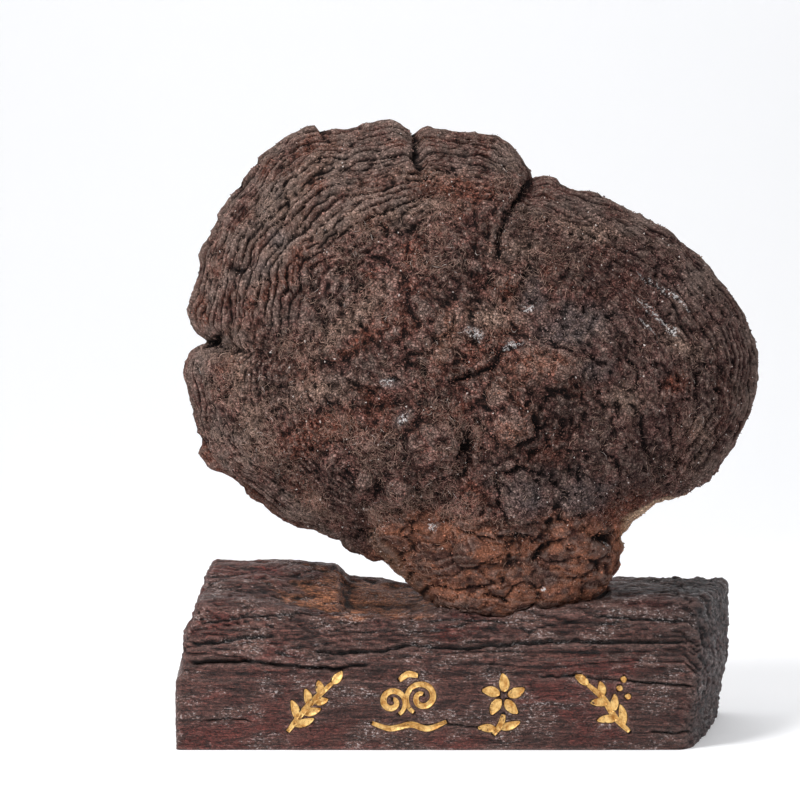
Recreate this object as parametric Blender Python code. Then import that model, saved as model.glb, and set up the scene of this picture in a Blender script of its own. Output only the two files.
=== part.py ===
"""Bracket fungus standing on a block of old timber.

Run it with: blender --background --python part.py
Metres, +Z up. The crusted upper side of the fungus faces -Y and its pore side faces +Y.
The timber's flat underside is at Z = 0, under the middle of the whole object's box.
"""

import math

import bmesh
import bpy
import numpy as np
from mathutils import Vector, noise

MM = 0.001

# Fungus: driving dimensions
CORE_X, CORE_Z = 0.0138, 0.2406  # the point that all growth zones run round
FRONT_DEPTH, BACK_DEPTH = 0.090, 0.044  # crusted dome ahead of the rim, and pore side behind it
FOOT_FRONT, FOOT_BACK = 0.064, 0.052  # the same two at the foot
FOOT_ANGLE, FOOT_SPREAD = 272.0, 50.0  # degrees: where the foot is, and how far it reaches round
RIM_LEAN = 0.020  # how far back the rim lies, 0.2 m above the core
FUNGUS_CELLS = 17  # grid cells along each side of the six sides it starts from

# Rim seen from the front: (degrees from +X towards +Z, millimetres from the core)
RIM = (
    (0, 193), (10, 200), (20, 197), (30, 190), (40, 184), (50, 176), (60, 172),  # right lobe
    (68, 167), (75, 170), (78.5, 163), (82, 182), (88, 195), (95, 196),  # top lobe
    (103, 206), (105.5, 200), (108, 219), (117, 227), (122, 235), (126, 243), (133, 244),  # upper left lobe
    (143, 240), (153, 234), (163, 227), (166, 216), (167.5, 200), (170, 219),
    (174, 223), (180, 214), (186, 210), (193, 203), (198, 186), (210, 166),  # lower left lobe
    (216, 152), (223, 144), (236, 145), (242, 143), (251, 150),  # neck and foot
    (262, 158), (281, 158), (291, 161), (302, 168), (307, 161), (310, 152),
    (316, 137), (321, 135), (325, 138), (330, 142), (335, 157), (341, 172), (350, 180),
)
RIM_BLUR, INNER_BLUR = 1.2, 24.0  # degrees: rounding of the rim, and of the zones well inside it
ZONE_START = 0.45  # share of the way out at which zones begin to follow the rim

# Knobs of old growth on the crusted side: (x, z from the core, radius, height), millimetres
KNOBS = (
    (11, 14, 17, 7), (19, -12, 19, 9), (-37, -28, 21, 9), (17, -62, 30, 10),
    (-62, -58, 12, 7), (-84, -52, 8, 5), (-38, 60, 13, 5), (41, 32, 24, 6),
    (14, 90, 8, 5), (-10, -98, 26, 7), (60, -92, 24, 8), (88, -40, 30, 6),
)
KNOB_SPREAD = 1.3  # how far past its radius a knob's slope runs out
WAVE_HEIGHT, WAVE_LENGTH = 0.007, 0.075  # broad unevenness of the crust
PORE_HOLLOW, PORE_HOLLOW_RADIUS = 0.012, 0.24  # how the pore side sinks in its middle

# Timber: driving dimensions
TIMBER_LEFT, TIMBER_RIGHT = -0.206, 0.204
TIMBER_FRONT, TIMBER_BACK = -0.076, 0.076
TIMBER_TOP = 0.104
RIGHT_SLANT = 0.046  # how much further left the right end stands at the front than at the back
# Wear of the three sides: (from this height, to this height, how far it steps in)
LEFT_WEAR = ((0.052, 0.066, 0.005), (0.075, 0.105, 0.009))
RIGHT_WEAR = ((0.06, 0.0, 0.008),)
FRONT_WEAR = ((0.055, 0.063, 0.003), (0.066, 0.104, 0.014))
BACK_RIDGE = 0.010  # rise of the unworn wood behind the hollow
HOLLOW_X, HOLLOW_Y, HOLLOW_RADIUS, HOLLOW_DEPTH = -0.065, -0.008, 0.065, 0.024
HOLLOW_LENGTHENED = 1.5  # how much longer the hollow is along X than along Y
EDGE_WEAR, EDGE_WIDTH = 0.012, 0.033  # drop of the top along its front edge
SEAT_GAP = 0.0004  # clearance between the foot and its seat in the timber
TIMBER_CELLS = (30, 9, 7)  # grid cells along X, Y and Z


def smooth_step(low, high, value):
    """0 below low, 1 above high, and a smooth rise between them."""
    t = np.clip((value - low) / (high - low), 0.0, 1.0)
    return t * t * (3.0 - 2.0 * t)


def hill(distance_squared, radius):
    """A round hill of height 1 that dies out past its radius."""
    return np.exp(-2.0 * distance_squared / radius**2)


def signed_degrees(degrees):
    """The same direction between -180 and 180 degrees."""
    return (degrees + 180.0) % 360.0 - 180.0


def rim_radius(angle, blur):
    """Rim radius in metres in these directions, rounded off over so many degrees."""
    turn = np.arange(720) * 0.5
    angles, radii = zip(*RIM)
    radius = np.interp(turn, angles, radii, period=360.0) * MM
    weight = np.exp(-0.5 * (signed_degrees(turn) / blur) ** 2)
    rounded = np.fft.ifft(np.fft.fft(radius) * np.fft.fft(weight / weight.sum())).real
    return np.interp(np.degrees(angle), turn, rounded, period=360.0)


def fungus_surface(unit):
    """Moves points of a unit ball onto the fungus: -Y of the ball becomes the middle of the crust."""
    angle = np.arctan2(unit[:, 2], unit[:, 0])
    ahead = -unit[:, 1]
    out = np.sqrt(np.clip(1.0 - ahead**2, 0.0, 1.0))
    inner, rim = rim_radius(angle, INNER_BLUR), rim_radius(angle, RIM_BLUR)
    reach = out * (inner + (rim - inner) * smooth_step(ZONE_START, 1.0, out))
    foot = out * hill(signed_degrees(np.degrees(angle) - FOOT_ANGLE) ** 2, 2.0 * FOOT_SPREAD)
    front = FRONT_DEPTH + (FOOT_FRONT - FRONT_DEPTH) * foot
    back = BACK_DEPTH + (FOOT_BACK - BACK_DEPTH) * foot
    # Blunt on the right and at the foot, thinner towards the rim of the left lobes.
    bluntness = 0.95 - 0.15 * out * np.cos(angle) - 0.35 * foot
    crust = -front * np.abs(ahead) ** bluntness
    pores = back * np.abs(ahead) ** 0.5
    x = CORE_X + reach * np.cos(angle)
    z = CORE_Z + reach * np.sin(angle)
    y = np.where(ahead > 0.0, crust, pores) + RIM_LEAN * (z - CORE_Z) / 0.2
    return np.stack([x, y, z], axis=1), ahead


def swell(points, ahead):
    """Raises the knobs and broad waves of the crust, and hollows the pore side a little."""
    x, z = points[:, 0] - CORE_X, points[:, 2] - CORE_Z
    knobs = 0.0
    for knob_x, knob_z, radius, height in KNOBS:
        from_knob = (x - knob_x * MM) ** 2 + (z - knob_z * MM) ** 2
        knobs = knobs + height * MM * hill(from_knob, radius * KNOB_SPREAD * MM)
    waves = np.array([noise.fractal(Vector(place) / WAVE_LENGTH, 0.9, 2.1, 3) for place in points])
    rise = knobs * smooth_step(0.0, 0.25, ahead)
    rise += WAVE_HEIGHT * waves * smooth_step(-0.1, 0.3, ahead)
    rise += PORE_HOLLOW * hill(x**2 + z**2, PORE_HOLLOW_RADIUS) * smooth_step(0.2, 0.7, -ahead)
    return points - np.outer(rise, (0.0, 1.0, 0.0))


def material(name, colour, roughness):
    made = bpy.data.materials.new(name)
    made.use_nodes = True
    shader = made.node_tree.nodes["Principled BSDF"]
    shader.inputs["Base Color"].default_value = (*colour, 1.0)
    shader.inputs["Roughness"].default_value = roughness
    shader.inputs["Metallic"].default_value = 0.0
    return made


def gridded_cube(cells):
    """A cube from -1 to 1 with so many grid cells along X, Y and Z."""
    bm = bmesh.new()
    bmesh.ops.create_cube(bm, size=2.0)
    for axis, count in enumerate(cells):
        along = [edge for edge in bm.edges if edge.verts[0].co[axis] != edge.verts[1].co[axis]]
        bmesh.ops.subdivide_edges(bm, edges=along, cuts=count - 1, use_grid_fill=True)
    return bm


def shaped_object(name, bm, places, finish, collection):
    """Puts the vertices in their places and makes a smooth-shaded object of triangles."""
    for vert, place in zip(bm.verts, places):
        vert.co = place
    bmesh.ops.triangulate(bm, faces=bm.faces)
    bmesh.ops.recalc_face_normals(bm, faces=bm.faces)
    mesh = bpy.data.meshes.new(name)
    bm.to_mesh(mesh)
    bm.free()
    mesh.materials.append(finish)
    mesh.shade_smooth()
    mesh.set_sharp_from_angle(angle=math.radians(50))
    obj = bpy.data.objects.new(name, mesh)
    collection.objects.link(obj)
    return obj


def build_fungus(collection):
    """One growth: a ball drawn out to the rim, domed in front and flatter behind."""
    bm = gridded_cube((FUNGUS_CELLS,) * 3)
    even = np.tan(np.array([vert.co for vert in bm.verts]) * math.pi / 4.0)
    unit = even / np.linalg.norm(even, axis=1, keepdims=True)
    crust = material("fungus_crust", (0.105, 0.062, 0.048), 0.9)
    return shaped_object("bracket_fungus", bm, swell(*fungus_surface(unit)), crust, collection)


def worn_top(x, y):
    """Height of the timber's top: a ridge at the back left, a scooped hollow and a worn front edge."""
    ridge = BACK_RIDGE * smooth_step(0.0, 0.05, y) * smooth_step(0.02, -0.10, x)
    from_hollow = ((x - HOLLOW_X) / HOLLOW_LENGTHENED) ** 2 + (y - HOLLOW_Y) ** 2
    hollow = HOLLOW_DEPTH * hill(from_hollow, HOLLOW_RADIUS)
    edge = EDGE_WEAR * smooth_step(TIMBER_FRONT + EDGE_WIDTH, TIMBER_FRONT, y)
    return TIMBER_TOP + ridge - hollow - edge


def worn_in(steps, level):
    """How far a side has worn in at these heights."""
    return sum(depth * smooth_step(low, high, level) for low, high, depth in steps)


def timber_surface(unit):
    """Moves points of a cube from -1 to 1 onto the worn beam."""
    along, deep, high = unit.T * 0.5 + 0.5
    level = high * TIMBER_TOP
    left = TIMBER_LEFT + worn_in(LEFT_WEAR, level)
    right = TIMBER_RIGHT - RIGHT_SLANT * (1.0 - deep**0.7) - worn_in(RIGHT_WEAR, level)
    front = TIMBER_FRONT + worn_in(FRONT_WEAR, level)
    x = left + (right - left) * along
    y = front + (TIMBER_BACK - front) * deep
    return np.stack([x, y, high * worn_top(x, y)], axis=1)


def seat_cutter(fungus, collection):
    """The fungus grown by the seat's clearance, which carves the seat for its foot."""
    cutter = bpy.data.objects.new("seat_cutter", fungus.data)
    cutter.hide_render = True
    cutter.display_type = "WIRE"
    grown = cutter.modifiers.new("clearance", "DISPLACE")
    grown.mid_level = 0.0
    grown.strength = SEAT_GAP
    collection.objects.link(cutter)
    return cutter


def build_timber(collection, cutter):
    """The timber: a gridded cube, worn at its ends and top, with a seat carved for the foot."""
    bm = gridded_cube(TIMBER_CELLS)
    places = timber_surface(np.array([vert.co for vert in bm.verts]))
    wood = material("old_timber", (0.085, 0.045, 0.040), 0.55)
    timber = shaped_object("timber_stand", bm, places, wood, collection)
    seat = timber.modifiers.new("seat", "BOOLEAN")
    seat.operation = "DIFFERENCE"
    seat.solver = "EXACT"
    seat.object = cutter
    return timber


def centre_over_origin(objects):
    """Moves everything so that the middle of the whole object's box is over the origin."""
    corners = np.array([corner for obj in objects for corner in obj.bound_box])
    middle = (corners.min(axis=0) + corners.max(axis=0)) / 2.0
    for obj in objects:
        obj.location = (-middle[0], -middle[1], 0.0)


def new_collection(name):
    collection = bpy.data.collections.new(name)
    bpy.context.scene.collection.children.link(collection)
    return collection


def main():
    for obj in list(bpy.data.objects):
        bpy.data.objects.remove(obj)
    parts = new_collection("bracket fungus on timber")
    cutters = new_collection("cutters")
    fungus = build_fungus(parts)
    cutter = seat_cutter(fungus, cutters)
    timber = build_timber(parts, cutter)
    centre_over_origin([fungus, timber])
    cutter.location = fungus.location


main()
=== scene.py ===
"""Looks of the bracket fungus on its timber stand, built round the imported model. Metres, +Z up."""

import itertools
import math

import bmesh
import bpy
import numpy as np
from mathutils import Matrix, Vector, noise
from mathutils.bvhtree import BVHTree


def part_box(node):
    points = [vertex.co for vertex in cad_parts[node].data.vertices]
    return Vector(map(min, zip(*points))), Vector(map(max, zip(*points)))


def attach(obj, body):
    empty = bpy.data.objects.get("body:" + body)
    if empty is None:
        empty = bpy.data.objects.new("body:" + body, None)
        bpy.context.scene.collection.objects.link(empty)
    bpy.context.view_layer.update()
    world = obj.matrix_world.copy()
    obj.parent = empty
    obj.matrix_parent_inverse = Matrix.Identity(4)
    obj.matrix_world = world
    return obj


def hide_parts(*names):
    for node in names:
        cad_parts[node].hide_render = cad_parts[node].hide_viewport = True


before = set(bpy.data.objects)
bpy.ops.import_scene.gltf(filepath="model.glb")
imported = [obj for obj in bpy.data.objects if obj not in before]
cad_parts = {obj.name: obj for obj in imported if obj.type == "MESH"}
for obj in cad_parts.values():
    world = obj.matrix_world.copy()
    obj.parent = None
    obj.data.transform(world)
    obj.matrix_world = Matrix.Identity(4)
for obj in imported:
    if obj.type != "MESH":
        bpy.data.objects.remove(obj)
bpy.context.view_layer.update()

MM = 0.001

# ---- fungus: shape shared with the CAD
CORE_X, CORE_Z = 0.0138, 0.2406  # the point that all growth zones run round
FRONT_DEPTH, BACK_DEPTH = 0.090, 0.044
FOOT_FRONT, FOOT_BACK = 0.064, 0.052
FOOT_ANGLE, FOOT_SPREAD = 272, 50  # degrees
RIM_LEAN = 0.020

# Rim seen from the front: (degrees from +X towards +Z, millimetres from the core)
RIM = (
    (0, 193), (10, 200), (20, 197), (30, 190), (40, 184), (50, 176), (60, 172),  # right lobe
    (68, 167), (75, 170), (78.5, 163), (82, 182), (88, 195), (95, 196),  # top lobe
    (103, 206), (105.5, 200), (108, 215), (117, 223), (122, 231), (126, 239), (133, 240),  # upper left lobe
    (143, 236), (153, 230), (163, 225), (166, 216), (167.5, 202), (170, 219),
    (174, 221), (180, 213), (186, 208), (193, 199), (199, 180), (210, 166),  # lower left lobe
    (216, 152), (223, 144), (236, 145), (242, 143), (251, 150),  # neck and foot
    (262, 158), (281, 158), (291, 161), (302, 168), (307, 161), (310, 152),
    (316, 137), (321, 135), (325, 138), (330, 142), (335, 155), (341, 170), (350, 180),
)
RIM_BLUR, INNER_BLUR = 0.8, 24  # degrees
ZONE_START = 0.45
# Ledges that break off at the rim: (degrees of the broken end, height in millimetres, side it runs out to)
LEDGES = (
    (106.2, 2.5, 1), (122.4, 3.5, 1), (133.2, 3.5, -1), (145, 2.5, -1), (153, 3, -1), (186, 2, -1),
    (92, 2, 1), (72, 2.5, 1), (51, 2, -1),
)
LEDGE_LENGTH, LEDGE_END = 5, 0.5  # degrees

# Knobs of old growth on the crusted side: (x, z from the core, radius, height), millimetres
KNOBS = (
    (11, 14, 17, 7), (19, -12, 19, 9), (-37, -28, 21, 9), (17, -62, 30, 10),
    (-62, -58, 12, 7), (-84, -52, 8, 5), (-38, 60, 13, 5), (41, 32, 24, 6),
    (14, 90, 8, 5), (-10, -98, 26, 7), (60, -92, 24, 8), (88, -40, 30, 6),
)
KNOB_SPREAD = 1.3
WAVE_HEIGHT, WAVE_LENGTH = 0.007, 0.075
PORE_HOLLOW, PORE_HOLLOW_RADIUS = 0.012, 0.24

# ---- fungus: detail of its own
CRUST_CELLS = 128  # grid cells along each side of the six sides the crust starts from
CRUST_SPREAD = ((0, 45, 135, 180), (0, 41, 108, 180))  # degrees of tilt: even grid, and as used

# Growth zones by direction: (degrees, ridge spacing, ridge height, how far in they reach), millimetres
ZONES = (
    (0, 4.4, 2.6, 48), (55, 4.6, 2.4, 48), (70, 4.8, 2.5, 60), (103, 5, 2.8, 70), (110, 5.6, 3.6, 94),
    (160, 6, 3.6, 94), (172, 5.4, 2.7, 56), (215, 5.2, 2.2, 40), (240, 5, 0.8, 18), (310, 4.6, 0.6, 14),
)
FOLD_SPACING, FOLD_HEIGHT = 0.0125, 2.8 * MM  # broad soft folds of the right lobe
# Small knobs, scarps and ridges: (x, z from the core, radius, height), millimetres
NODULES = (
    (3.5, 9, 8, 3.5), (-34, 35, 7, 2.5), (37, 31, 19, 2.5), (16, -13, 13, 2.5), (-40, -25, 15, 3),
    (-62, -58, 8, 2.5), (-84, -51, 7, 3), (13, 86, 8, 2.5), (-24, -30, 8, 2), (24, -63, 18, 2.5),
    (-108, 78, 14, 2), (-70, -84, 12, 2.5), (60, -62, 16, 2), (84, 46, 15, 2),
)
# Crevices: (depth, half width, points as (x, z) from the core), millimetres
CREVICES = (
    (7, 2.2, ((31.4, 160), (17, 139), (7, 121), (5, 104))),
    (5, 1.6, ((-53, 198), (-51, 182), (-50, 166))),
    (6, 2.6, ((-208, 46), (-197, 43), (-189, 51))),
    (5, 1.7, ((-33, 16), (-24, 19), (-10, 25), (0, 29), (7, 38), (22, 43))),
    (3.5, 1.3, ((36, 43), (47, 42), (60, 37))),
    (7, 3, ((-13, -15), (-17, -28), (-24, -40))),
    (5.5, 2.8, ((31, -5), (35, -14), (30, -24), (16, -28))),
    (3.4, 1.6, ((14, -82), (4, -63), (6, -47), (22, -41), (40, -48))),
    (3.5, 1.4, ((-3, 12), (-5, 1), (1, -3))),
    (3.5, 1.5, ((-144, 152), (-142, 138), (-150, 121))),
    (3, 1.4, ((-186, 99), (-176, 95), (-166, 99))),
    (3, 1.4, ((-122, 112), (-114, 116), (-106, 122))),
    (2.4, 1.3, ((107, -4), (110, -26))),
    (2.2, 1.3, ((126, -2), (130, -32))),
    (3, 1.5, ((96, 33), (104, 26), (102, 18))),
    (4, 2, ((-56, -66), (-62, -72), (-74, -74))),
    (4.5, 2.2, ((-76, -84), (-84, -92), (-94, -90))),
    (2.5, 1.3, ((-4, -134), (8, -136), (17, -141))),
    (3, 1.6, ((-20, -88), (2, -92), (20, -90))),
)
# Holes: (x, z from the core, half length, half width, degrees, depth), millimetres
HOLES = (
    (81, -92, 8, 4, -12, 8), (36, -102, 10, 3, 55, 6), (13, -111, 13, 4, 5, 4),
    (42, 44, 5, 3, 10, 4), (4, 38, 7, 4, 35, 5), (-50, -61, 4, 7, -10, 5),
    (52, -14, 3, 9, 5, 3), (92, -58, 7, 3, 60, 4), (-178, 97, 8, 3, -5, 3.5), (62, -48, 3, 8, 0, 3),
)
# Colour patches: (x, z from the core, half length, half width, degrees), millimetres
DUST = (
    (71, 124, 26, 7, -14), (20, 110, 20, 8, 10), (-38, 160, 30, 7, -8), (137, 41, 16, 7, -38),
    (150, -19, 9, 13, 5), (-140, 150, 48, 14, 48), (-150, 108, 32, 11, 52), (-106, 128, 38, 8, 32),
    (-58, 138, 36, 7, 12), (-176, 28, 8, 22, 0), (-168, -15, 8, 18, 5), (-95, 62, 32, 8, 40),
    (-118, 12, 26, 9, 10), (96, 4, 12, 9, 0), (0, 62, 20, 9, 0),
)
RUST = (
    (-128, 186, 14, 4, 35), (-157, 170, 9, 4, 50), (-65, 186, 9, 3, 0), (-121, 157, 9, 7, 0),
    (-133, 109, 12, 5, 40), (-55, 106, 12, 8, 60), (-55, 84, 8, 6, 0), (-150, 85, 34, 6, 42),
    (-204, 62, 5, 16, 0), (132, 16, 10, 7, 0), (13, 84, 6, 6, 0), (-14, 152, 40, 9, -6),
    (-124, -22, 34, 13, 20), (-130, -60, 20, 8, -40), (-90, 45, 24, 6, 40), (99, -75, 22, 12, 25),
)
FLESH = (
    (3.5, 9, 8, 7, 0), (-34, 35, 7, 6, 0), (37, 29, 19, 9, 5), (15, -14, 12, 10, 0), (-28, 56, 9, 13, 10),
)
ASH = (
    (56, 54, 28, 15, 10), (31, 76, 9, 14, 0), (72, 25, 14, 8, 10), (-12, 52, 9, 4, -20),
    (-70, 17, 7, 4, 0), (-60, -8, 9, 4, 40), (62, -60, 26, 12, 0), (25, -60, 18, 15, 0),
    (-150, 118, 9, 8, 0), (-160, 98, 9, 7, 0), (40, -118, 30, 8, 10),
)
GLOOM = (
    (-66, -34, 26, 14, 50), (-112, -56, 40, 16, -38), (-90, 26, 22, 12, 30), (-30, 84, 40, 16, 30),
    (70, -20, 14, 30, 0), (0, -40, 16, 12, 0), (45, -45, 24, 10, 20), (152, 12, 14, 40, 8),
    (-150, 30, 18, 26, 0), (18, 130, 12, 26, 20), (60, 100, 30, 12, -30), (-110, 70, 26, 10, 40),
    (52, -8, 12, 22, 0), (-30, 10, 14, 10, 0), (110, -40, 22, 14, 60), (-32, -142, 26, 8, -14),
    (28, -149, 32, 6, 8), (-88, -92, 14, 9, -40), (-140, -50, 30, 9, -38),
)
CHALK = (
    (110, 90, 7, 1.5, -50), (127, 80, 16, 1.8, -36), (138, 70, 8, 1.4, -40), (110, 72, 7, 1.6, -30),
    (120, 61, 15, 1.8, -42), (113, 55, 9, 1.2, -38), (28, 69, 3, 5, -30), (-11, 52, 7, 3, -20),
    (16, 43, 9, 2, 12),
    (-72, 17, 4, 2.5, 0), (-60, -8, 7, 2.5, 45), (39, -129, 2.2, 2, 0), (84, -98, 2, 1.6, 0),
    (-40, -84, 5, 3, 0), (-49, -140, 4, 2, 0),
)
PATCHES = {"rust": RUST, "dust": DUST, "flesh": FLESH, "ash": ASH, "gloom": GLOOM, "chalk": CHALK}
# Masks that threads and crumbs share with the crust they lie on
CRUST_MASKS = ("zoned", "foot", "bark", "pores", "right", "rust", "dust", "flesh", "ash", "gloom")
BARK = ((-80, -92), (-63, -115), (-45, -139))  # pale ridge down the foot's left edge
BARK_WIDTH, BARK_HEIGHT = 5.5, 4
# Rusty lumps on the lower left edge, just behind the crust: (degrees, half width in degrees, height in mm)
LIP_LUMPS = (
    (191, 3, 8), (196.5, 2.2, 3.5), (201, 2.4, 6.5), (206, 2.2, 3), (211.5, 3, 4),
    (219, 3.2, 3), (227, 3.2, 3.5), (235, 3.2, 3),
)
FOOT_GAP = (20, -66, 24, 22, 0)  # oval of old crust that reaches down into the foot's earthy colour
EARTHY_FOOT = -74  # height from the core at which the foot's earthy colour begins
# The foot's underside sags in the middle and rises to both sides, like a bowl. Millimetres from the core.
BOWL_MIDDLE, BOWL_LEFT, BOWL_RIGHT, BOWL_SAG, BOWL_RISE = 12, 60, 74, 5, 15

FIBRES, FIBRE_LENGTH, FIBRE_GIRTH = 11000, (2.5, 8), (0.07, 0.17)
CRUMBS, CRUMB_SIZE = 44000, (0.35, 1.35)

# ---- timber: shape shared with the CAD
TIMBER_LEFT, TIMBER_RIGHT = -0.206, 0.204
TIMBER_FRONT, TIMBER_BACK = -0.076, 0.076
TIMBER_TOP = 0.104
RIGHT_SLANT = 0.046
LEFT_WEAR = ((0.052, 0.066, 0.005), (0.075, 0.105, 0.009))
RIGHT_WEAR = ((0.06, 0, 0.008),)
FRONT_WEAR = ((0.055, 0.063, 0.003), (0.066, 0.104, 0.014))
BACK_RIDGE = 0.010
HOLLOW_X, HOLLOW_Y, HOLLOW_RADIUS, HOLLOW_DEPTH = -0.065, -0.008, 0.065, 0.024
HOLLOW_LENGTHENED = 1.5
EDGE_WEAR, EDGE_WIDTH = 0.012, 0.033
# Clearance under the foot: at its middle, how much more at its sides, where its middle is, half its width
SEAT_GAP, SEAT_WIDENS, SEAT_MIDDLE, SEAT_HALF = 1.2 * MM, 8 * MM, 0.012, 0.075

# ---- timber: detail of its own
TIMBER_CELLS = (300, 58, 84)
TIMBER_ROUNDING = 0.005
# Cracks of the front: (depth, half width, points as (x, z)), millimetres
CRACKS = (
    (3, 0.9, ((-189, 87), (-160, 91), (-135, 94), (-75, 96), (-51, 107))),
    (3.5, 1.2, ((-196, 74), (-178, 75), (-162, 77), (-135, 80))),
    (5, 1.6, ((-195, 61), (-170, 62), (-148, 62), (-118, 58), (-95, 57), (-69, 59.5))),
    (6, 1.3, ((-108, 69), (-82, 68), (-58, 70), (-38, 73), (-14, 71), (1, 71), (24, 73), (60, 76), (110, 75),
                (153, 75.5))),
    (2.5, 0.9, ((86, 93), (104, 91), (126, 90), (153, 89))),
    (3.5, 1, ((47, 52), (75, 53), (106, 49), (132, 47), (159, 45))),
    (3.5, 1.3, ((100, 111), (126, 106), (146, 106))),
    (2.5, 1, ((126, 13), (146, 12), (162, 15))),
    (2, 0.8, ((-60, 17), (-20, 18), (12, 16))),
    (1.8, 0.8, ((-190, 20), (-168, 22), (-150, 20))),
    (2, 0.8, ((-30, 88), (0, 90), (30, 88))),
)
# How strongly, and from how many millimetres, mesh rows close in on a crack
CRACK_PULL, CRACK_REACH = 0.55, 3.2
SPUR_END = -0.091  # where the raised back left of the top breaks off
SPUR_HEIGHT = 0.004
RAW_X, RAW_Y, RAW_LONG, RAW_WIDE = -0.058, 0.004, 0.062, 0.046  # patch of raw wood in the hollow

RING_Y, RING_Z, RING_SPACING = 0.03, -0.07, 0.0042  # axis of the timber's growth rings, metres

# Ornaments carved into the front: (middle x, middle z, kind), millimetres
ORNAMENTS = ((-109, 33, "sprig"), (-45, 33, "cloud"), (22, 33, "blossom"), (90, 33, "twig"))
STROKE, GROOVE_DEPTH, GILT_DEPTH = 4.4, 2.4, 1.3  # millimetres

# ---- studio
# Lamps: (name, place, size, watts)
LIGHTS = (
    ("key", (-1.2, -1, 1.7), (0.6, 0.6), 42),
    ("fill", (0.9, -1.8, 0.45), (1.2, 1.2), 6),
    ("top", (0, 0.1, 2.2), (1.8, 1.4), 17),
)
SKY, BACKDROP_GLOW = 0.42, 0.20
LAMPS_AIM = (0, 0, 0.22)
CAMERA_PLACE, CAMERA_AIM, CAMERA_LENS = (-0.0505, -1.61, 0.30), (-0.0505, 0, 0.243), 100


# ==== numbers
def ramp(low, high, value):
    """0 below low, 1 above high, and a smooth rise between them."""
    t = np.clip((value - low) / (high - low), 0, 1)
    return t * t * (3 - 2 * t)


def hill(distance_squared, radius):
    """A round hill of height 1 that dies out past its radius."""
    return np.exp(-2 * distance_squared / radius**2)


def signed_degrees(degrees):
    """The same direction between -180 and 180 degrees."""
    return (degrees + 180) % 360 - 180


LATTICE = np.random.default_rng(11).normal(size=(4096, 3))
LATTICE /= np.linalg.norm(LATTICE, axis=1, keepdims=True)


def ripple(points, size, seed=0):
    """Smooth noise, mostly between -0.6 and 0.6, whose lumps are about that size along each axis."""
    scaled = points / size + seed * 17.31
    cell = np.floor(scaled).astype(np.int64)
    inside = scaled - cell
    fade = inside**3 * (inside * (inside * 6 - 15) + 10)
    total = np.zeros(len(points))
    for corner in itertools.product((0, 1), repeat=3):
        at = cell + corner
        key = (at[:, 0] * 73856093) ^ (at[:, 1] * 19349663) ^ (at[:, 2] * 83492791)
        slope = LATTICE[(key + seed * 7919) % 4096]
        share = np.prod(np.where(corner, fade, 1 - fade), axis=1)
        total += share * np.einsum("ij,ij->i", slope, inside - corner)
    return total


def rough(points, size, octaves=3, seed=0):
    """Ripples upon ripples, each half the size and height of the last."""
    return sum(ripple(points, np.asarray(size) / 2**k, seed + k) / 2**k for k in range(octaves))


def lumps(points, size, seed=0):
    """Rounded lumps from 0 to about 1 with narrow valleys between them."""
    return np.clip(2.5 * np.abs(ripple(points, size, seed)), 0, 1) ** 0.6


def rolls(turns):
    """One round-topped roll for each whole turn, with a sharp valley between rolls."""
    return np.abs(np.sin(math.pi * turns)) ** 0.55


def distance_to_line(x, z, corners):
    """Distance in the XZ plane to a line of straight runs, and how far along it, from 0 to 1."""
    nearest, along = np.full(len(x), np.inf), np.zeros(len(x))
    for index, ((x0, z0), (x1, z1)) in enumerate(zip(corners, corners[1:])):
        run_x, run_z = x1 - x0, z1 - z0
        share = np.clip(((x - x0) * run_x + (z - z0) * run_z) / (run_x**2 + run_z**2), 0, 1)
        distance = np.hypot(x - x0 - share * run_x, z - z0 - share * run_z)
        along = np.where(distance < nearest, (index + share) / (len(corners) - 1), along)
        nearest = np.minimum(nearest, distance)
    return nearest, along


def patches(x, z, places, wobble=0):
    """The strongest of several oval patches at each place, from 0 to 1. Everything in millimetres."""
    mask = np.zeros(len(x))
    for at_x, at_z, half_long, half_wide, turn in places:
        c, s = math.cos(math.radians(turn)), math.sin(math.radians(turn))
        along = (c * (x - at_x) + s * (z - at_z)) / half_long
        across = (c * (z - at_z) - s * (x - at_x)) / half_wide
        mask = np.maximum(mask, np.exp(-(along**2 + across**2) * (1 + wobble)))
    return mask


# ==== meshes
def gridded_cube(cells):
    """A cube from -1 to 1 with so many grid cells along X, Y and Z."""
    bm = bmesh.new()
    bmesh.ops.create_cube(bm, size=2.0)
    for axis, count in enumerate(cells):
        along = [edge for edge in bm.edges if edge.verts[0].co[axis] != edge.verts[1].co[axis]]
        bmesh.ops.subdivide_edges(bm, edges=along, cuts=count - 1, use_grid_fill=True)
    return bm


def mesh_of(name, bm):
    bmesh.ops.recalc_face_normals(bm, faces=bm.faces)
    mesh = bpy.data.meshes.new(name)
    bm.to_mesh(mesh)
    bm.free()
    mesh.shade_smooth()
    return mesh


def mesh_of_triangles(name, points, triangles):
    mesh = bpy.data.meshes.new(name)
    mesh.vertices.add(len(points))
    mesh.loops.add(triangles.size)
    mesh.polygons.add(len(triangles))
    mesh.vertices.foreach_set("co", points.astype(np.float32).ravel())
    mesh.loops.foreach_set("vertex_index", triangles.astype(np.int32).ravel())
    mesh.polygons.foreach_set("loop_start", np.arange(0, triangles.size, 3, dtype=np.int32))
    mesh.update(calc_edges=True)
    mesh.validate()
    return mesh


def read(items, name, width=1, kind=np.float32):
    """The values of every item of a mesh: one number each, or rows of so many."""
    flat = np.empty(len(items) * width, kind)
    items.foreach_get(name, flat)
    return flat.reshape(-1, width) if width > 1 else flat


def points_of(mesh):
    return read(mesh.vertices, "co", 3).astype(float)


def normals_of(mesh):
    return read(mesh.vertex_normals, "vector", 3).astype(float)


def put_points(mesh, points):
    mesh.vertices.foreach_set("co", points.astype(np.float32).ravel())
    mesh.update()


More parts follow.
